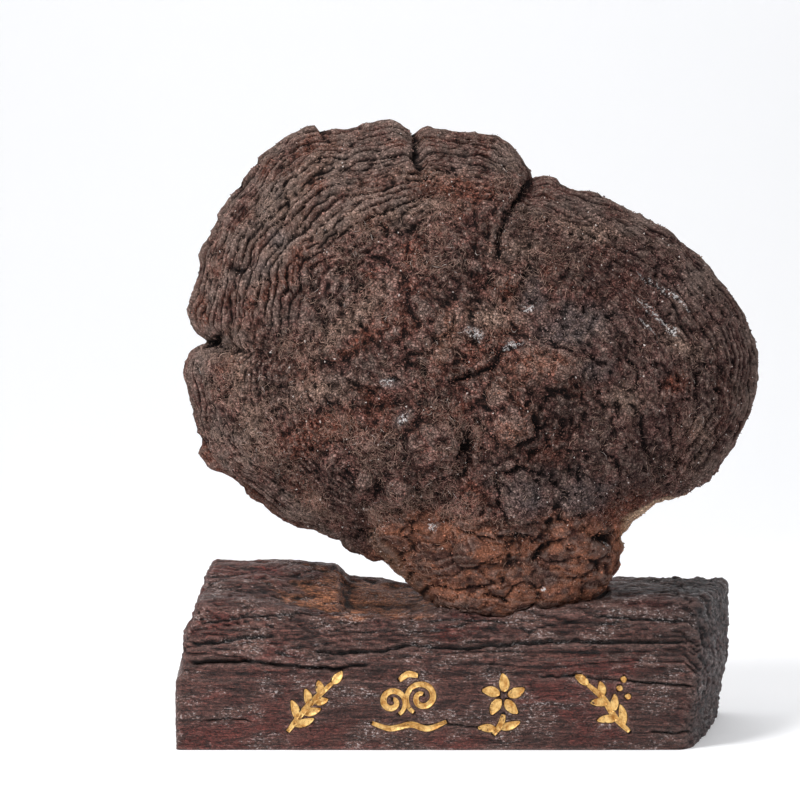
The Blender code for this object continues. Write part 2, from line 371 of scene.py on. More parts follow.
def neighbour_mean(edges, values):
    """For each point, the mean over the points that edges join it to."""
    first, second = edges.T
    count = np.bincount(edges.ravel(), minlength=len(values))
    columns = []
    for column in values.T:
        total = np.bincount(first, column[second], len(values))
        total += np.bincount(second, column[first], len(values))
        columns.append(total / count)
    return np.stack(columns, axis=1)


def standing_proud(mesh, near, wide):
    """How far each point stands out of its near and of its wider surroundings, in millimetres."""
    edges = read(mesh.edges, "vertices", 2, np.int32)
    points, normals = points_of(mesh), normals_of(mesh)
    smoothed, proud = points, []
    for count in range(1, wide + 1):
        smoothed = neighbour_mean(edges, smoothed)
        if count in (near, wide):
            proud.append(np.einsum("ij,ij->i", points - smoothed, normals) / MM)
    return proud


def tree_of(mesh):
    corners = read(mesh.loops, "vertex_index", 1, np.int32)
    sides = len(mesh.polygons[0].vertices)
    return BVHTree.FromPolygons(points_of(mesh).tolist(), corners.reshape(-1, sides).tolist())


def add_attributes(mesh, masks):
    """Stores named values at every point of a mesh, for its material to read."""
    for name, values in masks.items():
        data = mesh.attributes.new(name, "FLOAT", "POINT").data
        data.foreach_set("value", np.asarray(values, np.float32))


def add_object(name, data):
    made = bpy.data.objects.new(name, data)
    bpy.context.scene.collection.objects.link(made)
    return made


def add_piece(name, mesh, material):
    """A piece of the object: it rides on the one body and takes the finish it is given."""
    mesh.materials.append(material)
    piece = add_object(name, mesh)
    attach(piece, "root")
    return piece


# ==== fungus: shape
def rim_radius(angle, blur):
    """Rim radius in metres in these directions, rounded off over so many degrees."""
    turn = np.arange(720) * 0.5
    angles, radii = zip(*RIM)
    radius = np.interp(turn, angles, radii, period=360) * MM
    weight = np.exp(-0.5 * (signed_degrees(turn) / blur) ** 2)
    rounded = np.fft.ifft(np.fft.fft(radius) * np.fft.fft(weight / weight.sum())).real
    return np.interp(np.degrees(angle), turn, rounded, period=360)


def fungus_surface(unit):
    """Moves points of a unit ball onto the fungus: -Y of the ball becomes the middle of the crust."""
    angle = np.arctan2(unit[:, 2], unit[:, 0])
    ahead = -unit[:, 1]
    out = np.sqrt(np.clip(1 - ahead**2, 0, 1))
    inner, rim = rim_radius(angle, INNER_BLUR), rim_radius(angle, RIM_BLUR)
    reach = out * (inner + (rim - inner) * ramp(ZONE_START, 1, out))
    foot = out * hill(signed_degrees(np.degrees(angle) - FOOT_ANGLE) ** 2, 2 * FOOT_SPREAD)
    front = FRONT_DEPTH + (FOOT_FRONT - FRONT_DEPTH) * foot
    back = BACK_DEPTH + (FOOT_BACK - BACK_DEPTH) * foot
    bluntness = 0.95 - 0.15 * out * np.cos(angle) - 0.35 * foot
    crust = -front * np.abs(ahead) ** bluntness
    pores = back * np.abs(ahead) ** 0.5
    x = CORE_X + reach * np.cos(angle)
    z = CORE_Z + reach * np.sin(angle)
    y = np.where(ahead > 0, crust, pores) + RIM_LEAN * (z - CORE_Z) / 0.2
    return np.stack([x, y, z], axis=1), ahead


def swell(points, ahead):
    """Raises the knobs and broad waves of the crust, and hollows the pore side a little."""
    x, z = points[:, 0] - CORE_X, points[:, 2] - CORE_Z
    knobs = 0
    for knob_x, knob_z, radius, height in KNOBS:
        from_knob = (x - knob_x * MM) ** 2 + (z - knob_z * MM) ** 2
        knobs = knobs + height * MM * hill(from_knob, radius * KNOB_SPREAD * MM)
    waves = np.array([noise.fractal(Vector(place) / WAVE_LENGTH, 0.9, 2.1, 3) for place in points])
    rise = knobs * ramp(0, 0.25, ahead)
    rise += WAVE_HEIGHT * waves * ramp(-0.1, 0.3, ahead)
    rise += PORE_HOLLOW * hill(x**2 + z**2, PORE_HOLLOW_RADIUS) * ramp(0.2, 0.7, -ahead)
    return points - np.outer(rise, (0, 1, 0))


def bowled(points):
    """Lets the foot's underside sag in the middle and rise to both sides."""
    x, z = (points[:, 0] - CORE_X) / MM, (points[:, 2] - CORE_Z) / MM
    half = np.where(x < BOWL_MIDDLE, BOWL_LEFT, BOWL_RIGHT)
    rise = np.minimum(BOWL_RISE * ((x - BOWL_MIDDLE) / half) ** 2, 1.2 * BOWL_RISE) - BOWL_SAG
    moved = points.copy()
    moved[:, 2] += rise * MM * ramp(-96, -140, z)
    return moved


def ball_directions(bm):
    """Unit directions of a gridded cube's points, crowded towards the crusted side."""
    even = np.tan(np.array([vert.co for vert in bm.verts]) * math.pi / 4)
    unit = even / np.linalg.norm(even, axis=1, keepdims=True)
    tilt = np.arccos(np.clip(-unit[:, 1], -1, 1))
    used = np.radians(np.interp(np.degrees(tilt), *CRUST_SPREAD))
    sideways = np.hypot(unit[:, 0], unit[:, 2]) + 1e-12
    spread = np.sin(used) / sideways
    return np.stack([unit[:, 0] * spread, -np.cos(used), unit[:, 2] * spread], axis=1)


def from_rim(ahead):
    """Distance over the crust from the rim inwards, in metres, for a rim 0.2 m from the core."""
    tilt = np.linspace(0, math.pi / 2, 400)
    step = np.hypot(0.2 * np.cos(tilt), FRONT_DEPTH * np.sin(tilt)) * (tilt[1] - tilt[0])
    length = step.sum() - np.cumsum(step)
    return np.interp(np.arccos(np.clip(ahead, 0, 1)), tilt, length)


class Crust:
    """Places on the smooth form of the fungus, and what its detail is worked out from."""

    def __init__(self, base, unit):
        self.base, self.ahead = base, -unit[:, 1]
        self.degrees = np.degrees(np.arctan2(unit[:, 2], unit[:, 0])) % 360
        self.x, self.z = (base[:, 0] - CORE_X) / MM, (base[:, 2] - CORE_Z) / MM
        self.flat = np.stack([base[:, 0], base[:, 1] * 0.6, base[:, 2]], axis=1)
        self.front = ramp(-0.10, 0.05, self.ahead)
        ragged = 14 * rough(self.flat, 0.04, 3, 12)
        level = self.z + 0.10 * np.abs(self.x - 15) + ragged
        self.foot = ramp(EARTHY_FOOT + 9, EARTHY_FOOT - 9, level)
        self.foot *= ramp(-92, -72, self.x - 0.3 * (self.z + 100))
        wobble = 0.8 * rough(self.flat, 0.012, 3, 16)
        self.foot *= 1 - patches(self.x, self.z, (FOOT_GAP,), wobble)

    def sector(self, low, high, soft):
        """1 between two directions in degrees, fading out over a few degrees."""
        rise = ramp(low - soft, low + soft, self.degrees)
        return rise * ramp(high + soft, high - soft, self.degrees)


def zone_relief(crust):
    """Growth zones: rolls that run parallel to the rim, broken here and there. Also where they show."""
    flat, dry = crust.flat, crust.front * (1 - crust.foot)
    directions, *columns = zip(*ZONES)
    spacing, height, reach = (
        np.interp(crust.degrees, directions, column, period=360) * MM for column in columns)
    inward = from_rim(crust.ahead)
    turns = inward / spacing + 1.7 * rough(flat, 0.045, 2, 3) + 0.42 * rough(flat, 0.012, 2, 8)
    along = np.stack([np.floor(turns) * 3.7, crust.degrees / 9, 0 * turns], axis=1)
    across = np.stack([turns * 0.45, crust.degrees / 3.2, 0 * turns], axis=1)
    each = 1 + 1.1 * rough(along, 1, 2, 40)
    edge = reach + 0.040 * rough(flat, 0.035, 2, 5)
    shown = ramp(edge + 0.016, edge - 0.016, inward) * dry
    broken = np.clip(0.70 + 1.6 * rough(flat, 0.022, 3, 21), 0.1, 1.25)
    faint = (0.30 + 0.35 * ramp(20, -90, crust.x)) * dry * ramp(0.15, 0.09, inward)
    fine = rolls(turns * 2 + 0.5 * rough(flat, 0.008, 2, 31)) - 0.6
    splits = ramp(0.07, 0, np.abs(rough(across, 1, 2, 44)))
    plates = rolls(turns * 0.29 + 0.3) - 0.7
    rise = np.maximum(shown, faint) * broken * (rolls(turns) * each - 0.55)
    rise += shown * (0.35 * (fine - splits) + 1.1 * plates)
    folds = ramp(0.105, 0.06, inward) * ramp(20, 90, crust.x) * dry
    folds *= rolls(inward / FOLD_SPACING + 1.1 * rough(flat, 0.05, 2, 47)) - 0.75
    # valley: the low ground between rolls, which the crust material darkens as painted shade
    valley = shown * ramp(0.2, 0.8, broken) * ramp(0.68, 0.25, rolls(turns))
    valley *= ramp(0, 0.03, crust.ahead)
    return rise * height + FOLD_HEIGHT * folds, shown, valley


def rim_ledges(crust):
    """Ledges at the rim that run out gently to one side and break off at the other."""
    rise = 0
    for end, height, side in LEDGES:
        past = side * signed_degrees(crust.degrees - end)
        fading = np.exp(-np.clip(past, 0, None) / LEDGE_LENGTH)
        rise = rise + height * MM * ramp(-LEDGE_END, 0, past) * fading
    return rise * np.exp(-(((crust.ahead - 0.08) / 0.22) ** 2))


def nodule_relief(crust):
    rise = 0
    warp_x = crust.x + 9 * rough(crust.flat, 0.022, 3, 80)
    warp_z = crust.z + 9 * rough(crust.flat, 0.022, 3, 84)
    for at_x, at_z, radius, height in NODULES:
        away = np.hypot(warp_x - at_x, warp_z - at_z)
        rise = rise + height * MM * ramp(radius * 1.25, radius * 0.72, away)
    return rise * crust.front


def crevice_depth(crust):
    """Depth of crevices, holes and the moats that lie beneath the knobs, in metres."""
    jitter = 3.2 * rough(crust.flat, 0.014, 3, 82)
    ragged = 0.75 + 0.9 * rough(crust.flat, 0.010, 2, 85)
    cut = np.zeros(len(crust.x))
    for depth, width, corners in CREVICES:
        distance, along = distance_to_line(crust.x + jitter, crust.z - jitter, corners)
        ends = np.clip(1.25 - np.abs(2 * along - 1) ** 3, 0, 1)
        cut = np.maximum(cut, depth * MM * ends * np.exp(-((distance / width) ** 2)) * ragged)
    for at_x, at_z, half_long, half_wide, turn, depth in HOLES:
        oval = patches(crust.x + jitter, crust.z - jitter, ((at_x, at_z, half_long, half_wide, turn),))
        cut = np.maximum(cut, depth * MM * oval**1.5 * ragged)
    for knob_x, knob_z, radius, height in KNOBS:
        dx, dz = crust.x - knob_x + 3 * jitter, crust.z - knob_z - 3 * jitter
        away = np.hypot(dx, dz) + 1e-9
        beneath = ramp(0.1, 0.9, (0.7 * dx - 0.7 * dz) / away)
        ring = np.exp(-(((away - radius * 1.1) / 2.6) ** 2))
        cut = np.maximum(cut, 0.28 * height * MM * ring * beneath * ragged)
    return np.clip(cut, 0, None) * ramp(0, 0.1, crust.ahead)


def pore_relief(crust):
    """The pore side: gentle swellings, growth steps near its edge and shallow worn patches."""
    flat = crust.flat
    years = np.arccos(np.clip(-crust.ahead, 0, 1)) * 9 + 0.9 * rough(flat, 0.07, 3, 92)
    rise = 1.6 * rough(flat, 0.03, 3, 90) + 0.35 * rough(flat, 0.005, 2, 91)
    rise += 1.3 * (rolls(years) - 0.7) * ramp(-0.85, -0.45, crust.ahead)
    rise -= 1.6 * ramp(0.12, 0.34, rough(flat, 0.045, 3, 93))
    return rise * ramp(-0.02, -0.14, crust.ahead) * MM


def earth_relief(crust):
    """The foot: lumps and slabs of old growth that lie in broken layers."""
    flat = crust.flat
    layer = crust.z / 11 + 2.6 * rough(flat, (0.05, 0.05, 0.03), 3, 88)
    rise = 4.2 * (lumps(flat, (0.030, 0.030, 0.024), 95) - 0.6) + 1.1 * rough(flat, 0.008, 2, 96)
    return (rise + 1.1 * (layer % 1 - 0.5)) * crust.foot * crust.front * MM


def lip_relief(crust):
    """Rusty lumps just behind the lower left edge."""
    rise = sum(height * np.exp(-(((crust.degrees - at) / half) ** 4)) for at, half, height in LIP_LUMPS)
    behind = np.exp(-(((crust.ahead + 0.03) / 0.09) ** 2))
    return rise * behind * (1 + 0.5 * rough(crust.flat, 0.010, 2, 98)) * MM


def crust_relief(crust):
    """Height of the fungus's own detail over its smooth form, in metres, and masks of what it shows."""
    flat, foot = crust.flat, crust.foot
    zones, zoned, valley = zone_relief(crust)
    cut, lip = crevice_depth(crust), lip_relief(crust)
    old = crust.front * (1 - 0.65 * zoned)
    lumpy = 2.8 * (lumps(flat, 0.030, 50) - 0.6) + 1.3 * (lumps(flat, 0.012, 51) - 0.6)
    grain = (1.3 * rough(flat, 0.0065, 2, 70) + 0.8 * ripple(flat, 0.0030, 73)) * (1 - 0.6 * foot)
    pits = 2 * ramp(0.30, 0.50, rough(flat, 0.009, 2, 60)) * (1 - 0.7 * foot)
    distance = distance_to_line(crust.x + 2 * rough(flat, 0.02, 2, 97), crust.z, BARK)[0]
    bark = ramp(BARK_WIDTH * 1.3, BARK_WIDTH * 0.5, distance)
    rise = (lumpy * (1 - foot) - pits) * old + (grain + BARK_HEIGHT * bark) * crust.front
    rise = rise * MM + zones + rim_ledges(crust) - cut + nodule_relief(crust)
    rise += earth_relief(crust) + lip + pore_relief(crust)
    # cut: depth of crevices, holes and moats, which the crust material darkens as painted shade
    masks = {"cut": np.clip(cut / (2.5 * MM), 0, 1), "lip": np.clip(lip / (3 * MM), 0, 1)}
    return rise, {"zoned": zoned, "valley": valley, "bark": bark, **masks}


def fungus_masks(mesh, crust, masks):
    """What the fungus's colours are mixed by."""
    lip = masks.pop("lip")
    near, wide = standing_proud(mesh, 2, 9)
    wobble = np.clip(1.6 * rough(crust.flat, 0.012, 3, 110), -0.8, 2)
    for name, places in PATCHES.items():
        masks[name] = patches(crust.x, crust.z, places, wobble) * ramp(0, 0.15, crust.ahead)
    edge = 0.02 + 0.36 * crust.sector(313, 334, 7) + 0.14 * rough(crust.base, 0.018, 3, 100)
    masks["rust"] = np.maximum(masks["rust"], lip * 1.3)
    masks["pores"] = ramp(edge, edge - 0.06, crust.ahead) * (1 - lip)
    # proud: how far each point stands out; the crust material paints highlight on raised points and shade in
    # hollows by it
    masks["proud"] = np.clip(0.5 + 0.80 * near + 0.14 * wide, 0, 1)
    masks["right"] = ramp(-10, 130, crust.x)
    return {"foot": crust.foot, **masks}


def build_fungus():
    bm = gridded_cube((CRUST_CELLS,) * 3)
    unit = ball_directions(bm)
    base = bowled(swell(*fungus_surface(unit)))
    mesh = mesh_of("fungus", bm)
    put_points(mesh, base)
    crust = Crust(base, unit)
    rise, masks = crust_relief(crust)
    crust.zoned = masks["zoned"]
    put_points(mesh, base + normals_of(mesh) * rise[:, None])
    add_attributes(mesh, fungus_masks(mesh, crust, masks))
    return mesh, crust


# ==== fungus: fibres and crumbs
def tangents_of(normals):
    """Two directions across each normal, at right angles to each other."""
    helper = np.where(np.abs(normals[:, 2:]) < 0.8, (0, 0, 1), (1, 0, 0))
    first = np.cross(helper, normals)
    first /= np.linalg.norm(first, axis=1, keepdims=True)
    return first, np.cross(normals, first)


def scattered(mesh, weight, count, dice):
    """Places and normals on a mesh, picked by weight from its points and shifted a little sideways."""
    points, normals = points_of(mesh), normals_of(mesh)
    picked = dice.choice(len(points), count, p=weight / weight.sum())
    first, second = tangents_of(normals[picked])
    shift = dice.normal(0, 0.9 * MM, (count, 2))
    places = points[picked] + first * shift[:, :1] + second * shift[:, 1:]
    return picked, places, normals[picked]


def take_masks(made, mesh, picked, tone, corners):
    """Gives each thread or crumb its own tone, and the masks of the crust it lies on."""
    masks = {name: read(mesh.attributes[name].data, "value")[picked] for name in CRUST_MASKS}
    masks["tone"] = tone
    add_attributes(made, {name: np.repeat(values, corners) for name, values in masks.items()})
    return made


def build_fibres(mesh, crust, tree):
    """Loose threads of the felt: thin spindles of three runs that follow the surface."""
    dice = np.random.default_rng(21)
    left = ramp(90, -60, crust.x)
    weight = ramp(0.05, 0.25, crust.ahead) * (0.15 + 0.85 * left) * (1 - 0.9 * crust.foot)
    weight *= np.clip(0.25 + 3 * rough(crust.flat, 0.03, 3, 120), 0.02, 1.5) * (1 - 0.7 * crust.zoned)
    picked, places, normals = scattered(mesh, weight, FIBRES, dice)
    first, second = tangents_of(normals)
    turn = dice.uniform(0, 2 * math.pi, (FIBRES, 1))
    length = dice.uniform(*FIBRE_LENGTH, (FIBRES, 1)) * MM
    curl = dice.normal(0, 0.22, (FIBRES, 1))
    ahead = first * np.cos(turn) + second * np.sin(turn)
    aside = second * np.cos(turn) - first * np.sin(turn)
    rings = []
    for share in (-0.5, -0.17, 0.17, 0.5):
        at = places + ahead * length * share + aside * length * curl * (1 - 4 * share**2)
        landed = [tree.find_nearest(Vector(place), 8 * MM) for place in at]
        ground = np.array([hit[0] if hit[0] is not None else place for hit, place in zip(landed, at)])
        lift = dice.uniform(0.1, 0.5, (FIBRES, 1)) + abs(share) * dice.uniform(0, 1.6, (FIBRES, 1))
        rings.append(ground + normals * lift * MM)
    girth = dice.uniform(*FIBRE_GIRTH, (FIBRES, 1)) * MM
    ends = (rings[0][:, None], rings[3][:, None])
    across = [normals * math.cos(a) + aside * math.sin(a) for a in np.radians((90, 210, 330))]
    hoops = [np.stack([ring + side * girth for side in across], axis=1) for ring in rings[1:3]]
    points = np.concatenate([ends[0], hoops[0], hoops[1], ends[1]], axis=1).reshape(-1, 3)
    pattern = []
    for k in range(3):
        n = (k + 1) % 3
        pattern += [(0, 1 + n, 1 + k), (1 + k, 1 + n, 4 + n), (1 + k, 4 + n, 4 + k), (4 + k, 4 + n, 7)]
    triangles = (np.array(pattern)[None] + 8 * np.arange(FIBRES)[:, None, None]).reshape(-1, 3)
    made = mesh_of_triangles("fibres", points, triangles)
    return take_masks(made, mesh, picked, dice.random(FIBRES), 8)


def build_crumbs(mesh, crust):
    """Grit and crumbs of the crust: little four-sided grains half sunk in it."""
    dice = np.random.default_rng(22)
    weight = ramp(0, 0.2, crust.ahead) * np.clip(0.9 + 1.2 * rough(crust.flat, 0.02, 3, 130), 0.1, 2)
    weight *= (1 - 0.7 * crust.zoned) * (1 - 0.85 * crust.foot)
    picked, places, normals = scattered(mesh, weight, CRUMBS, dice)
    size = CRUMB_SIZE[0] + (CRUMB_SIZE[1] - CRUMB_SIZE[0]) * dice.random((CRUMBS, 1, 1)) ** 2.2
    corners = np.array([(1, 1, 1), (1, -1, -1), (-1, 1, -1), (-1, -1, 1)]) / math.sqrt(3)
    spin = np.linalg.qr(dice.normal(size=(CRUMBS, 3, 3)))[0]
    spin[np.linalg.det(spin) < 0] *= -1
    shape = np.einsum("nij,kj->nki", spin, corners) * dice.uniform(0.55, 1.15, (CRUMBS, 4, 1))
    points = (places + normals * 0.15 * MM)[:, None, :] + shape * size * MM
    pattern = np.array([(0, 1, 2), (0, 3, 1), (0, 2, 3), (1, 3, 2)])
    triangles = (pattern[None] + 4 * np.arange(CRUMBS)[:, None, None]).reshape(-1, 3)
    made = mesh_of_triangles("crumbs", points.reshape(-1, 3), triangles)
    return take_masks(made, mesh, picked, dice.random(CRUMBS), 4)


# ==== timber
def worn_in(steps, level):
    """How far a side has worn in at these heights."""
    return sum(depth * ramp(low, high, level) for low, high, depth in steps)


def worn_top(x, y):
    """Height of the top: a broken ridge at the back left, a scooped hollow and a worn front edge."""
    ridge = BACK_RIDGE * ramp(0, 0.05, y) * ramp(0.02, -0.10, x)
    from_hollow = ((x - HOLLOW_X) / HOLLOW_LENGTHENED) ** 2 + (y - HOLLOW_Y) ** 2
    hollow = HOLLOW_DEPTH * hill(from_hollow, HOLLOW_RADIUS)
    edge = EDGE_WEAR * ramp(TIMBER_FRONT + EDGE_WIDTH, TIMBER_FRONT, y)
    spur = ramp(SPUR_END + 0.005, SPUR_END - 0.005, x + 0.12 * (y - 0.03)) * ramp(-0.01, 0.02, y)
    gone = ramp(SPUR_END - 0.004, SPUR_END + 0.006, x) * ramp(0, -0.04, x)
    broken = 0.007 * gone * ramp(0, 0.03, y)
    return TIMBER_TOP + ridge - hollow - edge + SPUR_HEIGHT * spur - broken


def seat_height(tree, x, y, offset):
    """Height that the wood may reach under the foot: a gap that widens to both sides of the middle."""
    limit = np.full(len(x), np.inf)
    for index in np.flatnonzero((x > -0.10) & (x < 0.14)):
        start = Vector((x[index] + offset[0], y[index] + offset[1], 0))
        hit = tree.ray_cast(start, Vector((0, 0, 1)), 0.16)
        if hit[0] is not None:
            limit[index] = hit[0].z
    return limit - SEAT_GAP - SEAT_WIDENS * np.clip(np.abs(x - SEAT_MIDDLE) / SEAT_HALF, 0, 1) ** 2


def rounded(unit, radius):
    """Points of a cube from -1 to 1, moved in to round all of the beam's edges but those it stands on."""
    half = np.array([(TIMBER_RIGHT - TIMBER_LEFT) / 2, (TIMBER_BACK - TIMBER_FRONT) / 2, TIMBER_TOP / 2])
    inner = (1 - np.abs(unit)) * half
    inner[:, 2] = np.where(unit[:, 2] < 0, radius, inner[:, 2])
    over = np.clip(radius - inner, 0, radius)
    length = np.linalg.norm(over, axis=1, keepdims=True)
    share = np.where(length > radius, radius / np.maximum(length, 1e-9), 1)
    return unit - np.sign(unit) * over * (1 - share) / half


def timber_form(unit, tree, offset):
    """Points of a cube from -1 to 1 moved onto the worn beam, before its grain."""
    along, deep, high = rounded(unit, TIMBER_ROUNDING).T * 0.5 + 0.5
    level = high * TIMBER_TOP
    left = TIMBER_LEFT + worn_in(LEFT_WEAR, level)
    right = TIMBER_RIGHT - RIGHT_SLANT * (1 - deep**0.7) - worn_in(RIGHT_WEAR, level)
    front = TIMBER_FRONT + worn_in(FRONT_WEAR, level)
    x = left + (right - left) * along
    y = front + (TIMBER_BACK - front) * deep
    top = np.minimum(worn_top(x, y), seat_height(tree, x, y, offset))
    return np.stack([x, y, high * top], axis=1)


def grain_layers(points):
    """Points in the wood's own lie: along its length, across it, and up through its layers."""
    x, y, z = points.T
    upper = ramp(0.060, 0.095, z)
    layer = z - 0.145 * upper * np.minimum(x + 0.05, 0) + 0.07 * upper * np.clip(x - 0.06, 0, 0.09)
    layer = layer + 0.9 * np.clip(x - 0.150, 0, None) + 0.004 * ripple(points, (0.12, 0.05, 0.06), 140)
    return np.stack([x, y, layer], axis=1)


def cracks_at(points):
    """For each crack: depth, half width, ragged height at each point, x of both ends. Millimetres."""
    ragged = 2 * ripple(points, (0.016, 9, 9), 141) + 1.2 * ripple(points, (0.006, 9, 9), 143)
    for depth, width, corners in CRACKS:
        line_x, line_z = zip(*corners)
        level = np.interp(points[:, 0] / MM, line_x, line_z) + ragged
        yield depth, width, level, line_x[0], line_x[-1]


def drawn_to_cracks(points, face):
    """Moves rows of the front face closer to the cracks, so that they come out sharp."""
    x, pulled = points[:, 0] / MM, points[:, 2] / MM
    for _, _, level, left, right in cracks_at(points):
        inside = ramp(left - 6, left, x) * ramp(right + 6, right, x)
        away = level - pulled
        pulled = pulled + CRACK_PULL * away * np.exp(-((away / CRACK_REACH) ** 2)) * inside * face
    return np.stack([points[:, 0], points[:, 1], pulled * MM], axis=1)


def crack_depth(points, face):
    """Depth of the front's cracks, in metres."""
    x, z = points[:, 0] / MM, points[:, 2] / MM
    ragged = 0.75 + 0.9 * ripple(points, (0.011, 9, 9), 142)
    cut = np.zeros(len(x))
    for depth, width, level, left, right in cracks_at(points):
        inside = ramp(left - 2, left + 8, x) * ramp(right + 2, right - 8, x)
        across = ramp(1.3 * width, 0.2 * width, np.abs(z - level))
        cut = np.maximum(cut, depth * MM * inside * ragged * across)
    return np.clip(cut, 0, None) * face


def wood_relief(points, rough_face):
    """Weathered grain: long low ridges along the wood, finer ones upon them, and small pits."""
    layers = grain_layers(points)
    coarse = 2.4 * MM * rough(layers, (0.10, 0.020, 0.013), 2, 150)
    middle = 1.6 * MM * rough(layers, (0.040, 0.009, 0.0052), 2, 152)
    fine = 0.9 * MM * ripple(layers, (0.018, 0.005, 0.0026), 154)
    splits = -1.7 * MM * ramp(0.07, 0, np.abs(ripple(layers, (0.085, 0.014, 0.0085), 155)))
    chipped = 1.9 * MM * rough(points, (0.011, 0.009, 0.006), 3, 156)
    chipped *= ramp(0.20, 0.15, points[:, 0] - 0.01)
    weathered = middle + splits + chipped
    return coarse * (0.3 + 0.7 * rough_face) + weathered * rough_face + fine * (0.25 + 0.75 * rough_face)


def timber_masks(form, unit):
    """Raw wood in the hollow and charred wood at its rim."""
    x, y = form[:, 0], form[:, 1]
    top = ramp(0.7, 0.9, unit[:, 2])
    raw = hill(((x - RAW_X) / RAW_LONG) ** 2 + ((y - RAW_Y) / RAW_WIDE) ** 2, 1.5) * 1.25
    raw = ramp(0.28, 0.46, raw + 0.5 * rough(form, (0.03, 0.012, 0.03), 2, 160)) * top
    rim = ramp(-0.035, -0.047, y) * ramp(-0.064, -0.050, y)
    rim *= ramp(-0.13, -0.09, x) * ramp(0.03, -0.01, x)
    return raw, rim * top


def build_timber(tree, offset, strokes):
    """Returns the timber's mesh, and the gilt mesh that lines the ornaments carved into it."""
    bm = gridded_cube(TIMBER_CELLS)
    unit = np.array([vert.co for vert in bm.verts])
    mesh = mesh_of("timber", bm)
    form = timber_form(unit, tree, offset)
    face = ramp(-0.90, -0.999, unit[:, 1]) * ramp(0, 0.003, form[:, 2])
    form = drawn_to_cracks(form, face)
    put_points(mesh, form)
    x, _, z = form.T
    rough_face = 0.22 + 0.78 * np.maximum(ramp(0.052, 0.064, z), ramp(0.14, 0.17, x))
    # The charred rim; painted shade towards the right end is added to it below.
    raw, char_and_end_shade = timber_masks(form, unit)
    rise = wood_relief(form, rough_face) * (1 - 0.6 * raw)
    rise += (1.8 * char_and_end_shade * (lumps(form, 0.009, 161) - 0.3) - 2 * raw) * MM
    cut = crack_depth(form, face)
    points = form + normals_of(mesh) * (rise - cut)[:, None]
    points[:, 2] = np.where(unit[:, 2] <= -0.999, 0, np.clip(points[:, 2], 0, None))
    points += offset
    put_points(mesh, points)

    carved = gilt_mesh(strokes, tree_of(mesh))
    groove = groove_mask(points, strokes) * face
    put_points(mesh, points + np.outer(groove * GROOVE_DEPTH * MM, (0, 1, 0)))
    near, wide = standing_proud(mesh, 2, 7)
    # Painted shade: darker towards the right end, most on its upper part, put into the same mask as the
    # charred rim.
    painted_end_shade = 0.8 * ramp(0.10, 0.16, x) * ramp(0.06, 0.10, z) + 0.3 * ramp(0, 0.15, x)
    add_attributes(mesh, {
        "raw": raw,
        # proud: how far each point stands out; the wood material paints highlight on raised points and shade
        # in hollows by it
        "proud": np.clip(0.5 + 0.8 * near + 0.25 * wide, 0, 1),
        "char_and_end_shade": np.clip(char_and_end_shade + painted_end_shade, 0, 1),
        # cut: cracks and carved grooves, which the wood material darkens as painted shade
        "cut": np.clip(cut / (1.6 * MM) + groove, 0, 1),
        "end": ramp(0.150, 0.172, x),
        "low": ramp(0.062, 0.050, z) * face,
        "sawn": ramp(0.985, 0.999, np.abs(unit[:, 0])),
    })
    return mesh, carved


# ==== ornaments: sprigs, a cloud and a blossom
def smooth_path(corners, count=22):
    """A smooth curve through the corners, as evenly timed points."""
    before, after = 2 * np.array(corners[0]) - corners[1], 2 * np.array(corners[-1]) - corners[-2]
    corners = np.array([before, *corners, after])
    time = np.linspace(0, len(corners) - 3, count)
    index = np.minimum(time.astype(int), len(corners) - 4)
    t = (time - index)[:, None]
    a, b, c, d = (corners[index + k] for k in range(4))
    return 0.5 * (2 * b + (c - a) * t + (2 * a - 5 * b + 4 * c - d) * t**2 + (3 * b - a - 3 * c + d) * t**3)


def stem(corners, width=STROKE):
    """A carved line, tapered at both ends. A stroke is its points and its width at each of them."""
    path = smooth_path(corners)
    share = np.linspace(0, 1, len(path))
    return path, width * (0.35 + 0.65 * np.sin(math.pi * (0.08 + 0.84 * share)) ** 0.6)


def leaf(base, degrees, length, width=1.35 * STROKE):
    """A pointed leaf that grows from its base in that direction and bends a little."""
    share = np.linspace(0, 1, 16)
    turn = np.radians(degrees + 16 * (share - 0.5))
    path = np.array(base) + np.stack([np.cos(turn), np.sin(turn)], axis=1) * (share * length)[:, None]
    return path, width * (0.16 + 0.84 * np.sin(math.pi * share**0.85) ** 0.8)


def curl(middle, radius, turns, degrees, width=STROKE):
    """A line that winds inwards."""
    share = np.linspace(0, 1, 40)
    turn = np.radians(degrees) + 2 * math.pi * turns * share
    reach = radius * (1 - 0.80 * share)
    path = np.array(middle) + np.stack([reach * np.cos(turn), reach * np.sin(turn)], axis=1)
    return path, width * (0.45 + 0.55 * np.sin(math.pi * (0.1 + 0.8 * share)))


def branch(corners, leaves, length, spread=46):
    """A stem with leaves on alternate sides and one at its tip."""
    strokes = [stem(corners)]
    path = strokes[0][0]
    for number in range(leaves):
        at = int((0.16 + 0.74 * number / leaves) * (len(path) - 1))
        way = math.degrees(math.atan2(*(path[at + 1] - path[at])[::-1]))
        side = 1 if number % 2 else -1
        strokes.append(leaf(path[at], way + side * spread, length * (1 - 0.07 * number)))
    tip = math.degrees(math.atan2(*(path[-1] - path[-2])[::-1]))
    strokes.append(leaf(path[-1], tip, 0.7 * length))
    return strokes


def sprig():
    return branch(((-20, -20), (-11, -8), (-1, 3), (11, 14)), 6, 15)


def cloud():
    strokes = [curl((-11, 1), 10, 1.35, -60), curl((10, 4), -12, -1.45, 60)]
    strokes.append(stem(((-25, -14), (-12, -18), (2, -15), (14, -18), (27, -13))))
    strokes.append(stem(((-6, 16), (0, 20), (7, 19))))
    return strokes


